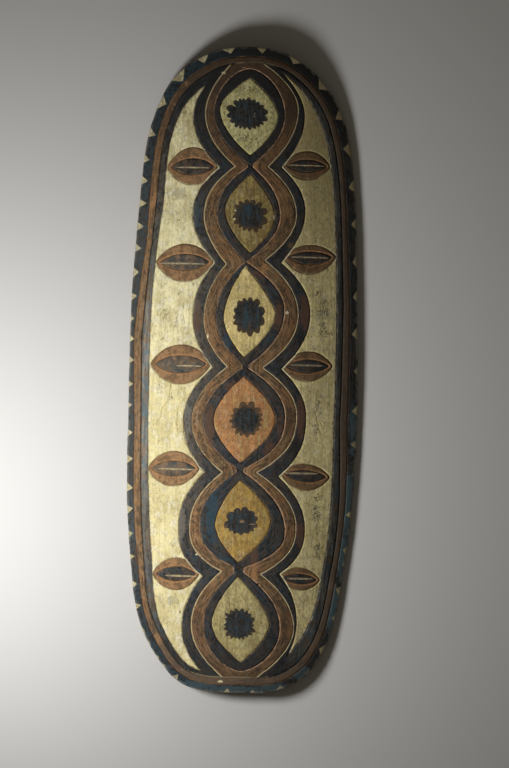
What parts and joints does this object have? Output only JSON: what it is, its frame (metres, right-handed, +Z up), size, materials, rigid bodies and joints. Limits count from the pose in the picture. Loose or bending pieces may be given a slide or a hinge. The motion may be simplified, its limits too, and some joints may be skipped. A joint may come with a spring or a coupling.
{
  "type": "carved wooden shield",
  "caption": "Long oval shield carved from one board, with incised and painted lens, eye and border patterns and a carved grip on its hollow back.",
  "frame": {"origin": "on the surface the shield lies on, below the middle of its box", "axes": "+Z up, out of the carved face; +Y towards the shield's top; +X towards its right side as the carved face is seen"},
  "size_m": [0.4979, 1.4001, 0.0809],
  "materials": {
    "painted_wood": "matt earth paints in cream, blue-black, brown and ochre on hewn wood, worn and dusty; bare darkened wood on the back and the grip"
  },
  "bodies": {
    "root": {"shield_board": "painted_wood"}
  },
  "joints": []
}
